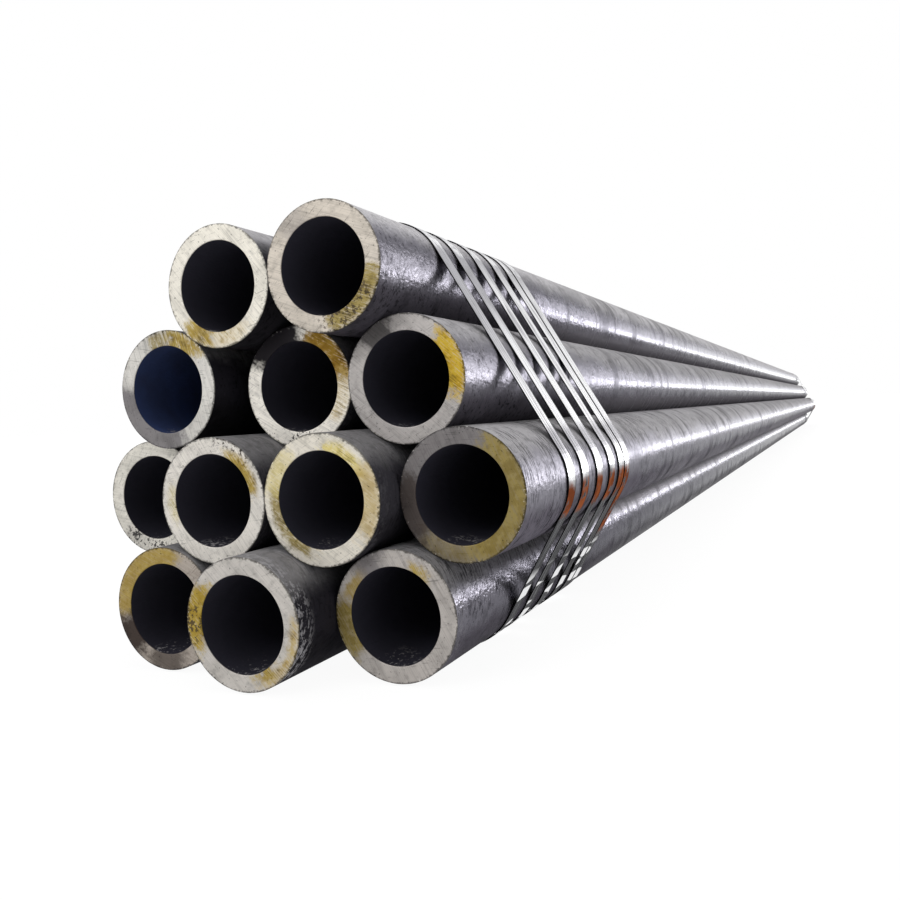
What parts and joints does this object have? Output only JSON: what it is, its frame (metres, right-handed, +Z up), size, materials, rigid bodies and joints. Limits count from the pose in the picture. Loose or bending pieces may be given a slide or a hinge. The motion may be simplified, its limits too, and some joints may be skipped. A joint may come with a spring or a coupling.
{
  "type": "strapped bundle of steel pipes",
  "caption": "Bundle of thick-walled steel pipes nested in rows of a rounded stack, held together near both ends by groups of flat steel straps.",
  "frame": {"origin": "on the floor below the middle of the bundle", "axes": "+X across the bundle to the right as seen from the front ends, +Y along the pipes away from the front ends, +Z up"},
  "size_m": [0.386, 5.886, 0.3458],
  "materials": {
    "pipe_steel": "dark grey mill scale outside, pale sawn ends with ochre rust, near-black bores",
    "strap_steel": "bright galvanized steel with rust at the shoulders",
    "seal_steel": "galvanized pressed steel"
  },
  "bodies": {
    "root": {"bottom_left_pipe": "pipe_steel", "bottom_middle_pipe": "pipe_steel", "bottom_right_pipe": "pipe_steel", "second_row_left_pipe": "pipe_steel", "second_row_inner_left_pipe": "pipe_steel", "second_row_inner_right_pipe": "pipe_steel", "second_row_right_pipe": "pipe_steel", "third_row_left_pipe": "pipe_steel", "third_row_middle_pipe": "pipe_steel", "third_row_right_pipe": "pipe_steel", "top_left_pipe": "pipe_steel", "top_right_pipe": "pipe_steel", "near_strap_1": "strap_steel", "near_strap_2": "strap_steel", "near_strap_3": "strap_steel", "near_strap_4": "strap_steel", "near_strap_5": "strap_steel", "near_strap_6": "strap_steel", "far_strap_1": "strap_steel", "far_strap_2": "strap_steel", "far_strap_3": "strap_steel", "far_strap_4": "strap_steel", "far_strap_5": "strap_steel", "far_strap_6": "strap_steel", "near_seal_1": "seal_steel", "near_seal_2": "seal_steel", "near_seal_3": "seal_steel", "near_seal_4": "seal_steel", "near_seal_5": "seal_steel", "near_seal_6": "seal_steel", "far_seal_1": "seal_steel", "far_seal_2": "seal_steel", "far_seal_3": "seal_steel", "far_seal_4": "seal_steel", "far_seal_5": "seal_steel", "far_seal_6": "seal_steel"}
  },
  "joints": []
}
